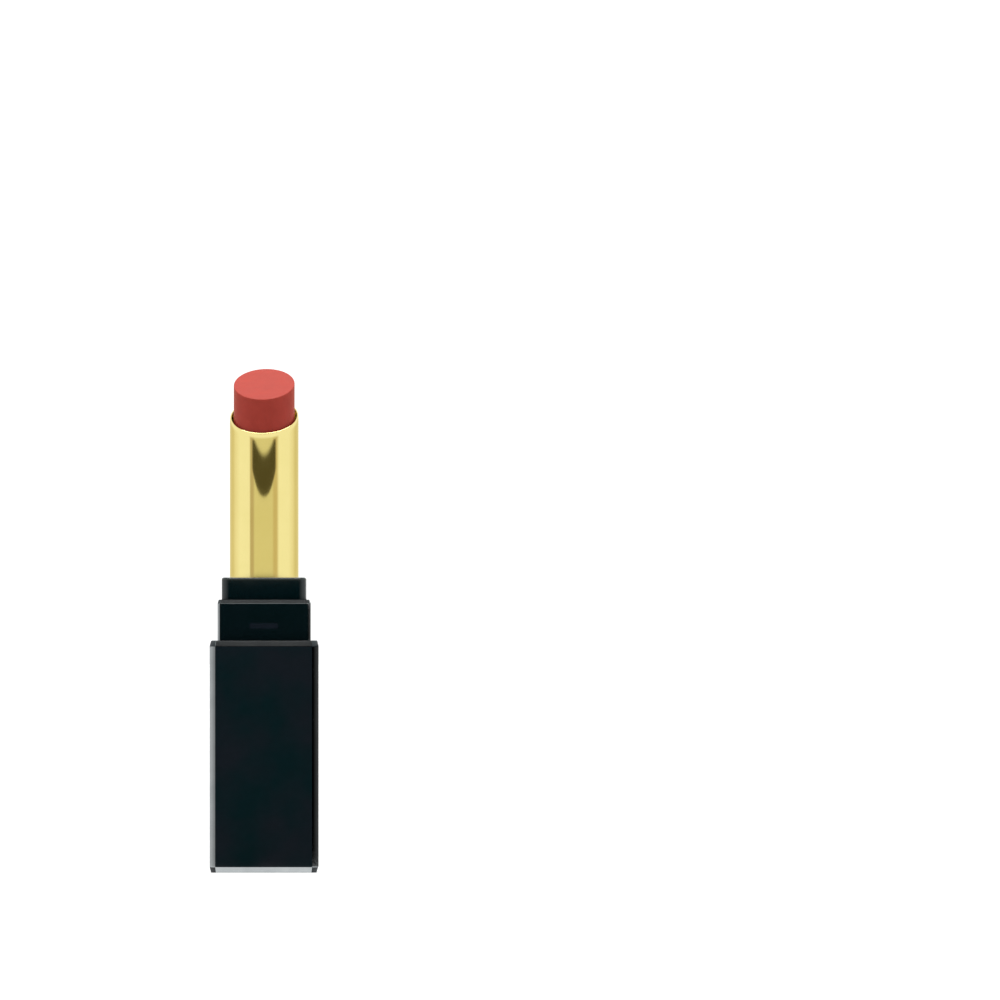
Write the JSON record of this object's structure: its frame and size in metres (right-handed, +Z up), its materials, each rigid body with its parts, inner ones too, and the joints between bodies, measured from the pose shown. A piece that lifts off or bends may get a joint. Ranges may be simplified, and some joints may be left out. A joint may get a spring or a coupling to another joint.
{
  "type": "lipstick case",
  "caption": "Square-based twist-up lipstick with a slant-cut gold sleeve: turning the sleeve in the base raises and lowers the slanted bullet.",
  "frame": {"origin": "centre of the base's underside", "axes": "+Z up along the sleeve and the twist axis; -Y is the front, which the low edges of the slanted rim and of the bullet's face look towards, turned 4 degrees towards -X; +X is to the right when the front is seen"},
  "size_m": [0.0186, 0.0186, 0.0859],
  "materials": {
    "base_lacquer": "glossy deep blue-black lacquer with a metallic sheen",
    "seat_gloss": "high-gloss blue-black",
    "neck_gloss": "high-gloss blue-black",
    "gold_metal": "polished pale gold anodised",
    "bullet_wax": "coral brick-red lipstick wax, satin",
    "bottom_plastic": "glossy blue-black",
    "label_film": "blank matt printed film",
    "pad_foam": "double-sided adhesive foam",
    "weight_steel": "zinc-plated, tumbled",
    "holder_plastic": "moulded, matt",
    "spiral_plastic": "moulded natural acetal",
    "washer_plastic": "low-friction film",
    "brake_silicone": "silicone, matt",
    "guide_plastic": "moulded natural acetal",
    "stem_plastic": "moulded, satin",
    "cup_plastic": "moulded, gold tinted, satin"
  },
  "bodies": {
    "base": {"base_shell": "base_lacquer", "bottom_plate": "bottom_plastic", "shade_label": "label_film", "weight_pad": "pad_foam", "base_weight": "weight_steel", "core_holder": "holder_plastic", "spiral_end_plug": "spiral_plastic", "spiral_tube": "spiral_plastic", "thrust_washer": "washer_plastic", "seat_collar": "seat_gloss", "brake_ring": "brake_silicone", "neck_collar": "neck_gloss"},
    "sleeve": {"guide_tube": "guide_plastic", "gold_sleeve": "gold_metal"},
    "carrier": {"lift_stem": "stem_plastic", "bullet_cup": "cup_plastic", "bullet": "bullet_wax"}
  },
  "joints": [
    {"name": "twist", "type": "hinge", "parent": "base", "child": "sleeve", "pos_m": [0, 0, 0.038], "axis": [0, 0, -1], "range_deg": [-180, 540]},
    {"name": "lift", "type": "slide", "parent": "sleeve", "child": "carrier", "axis": [0, 0, 1], "range_m": [-0.0065, 0.0195]}
  ],
  "couplings": [
    {"joint": "twist", "follows": "lift", "rad_per_m": 483.32}
  ]
}
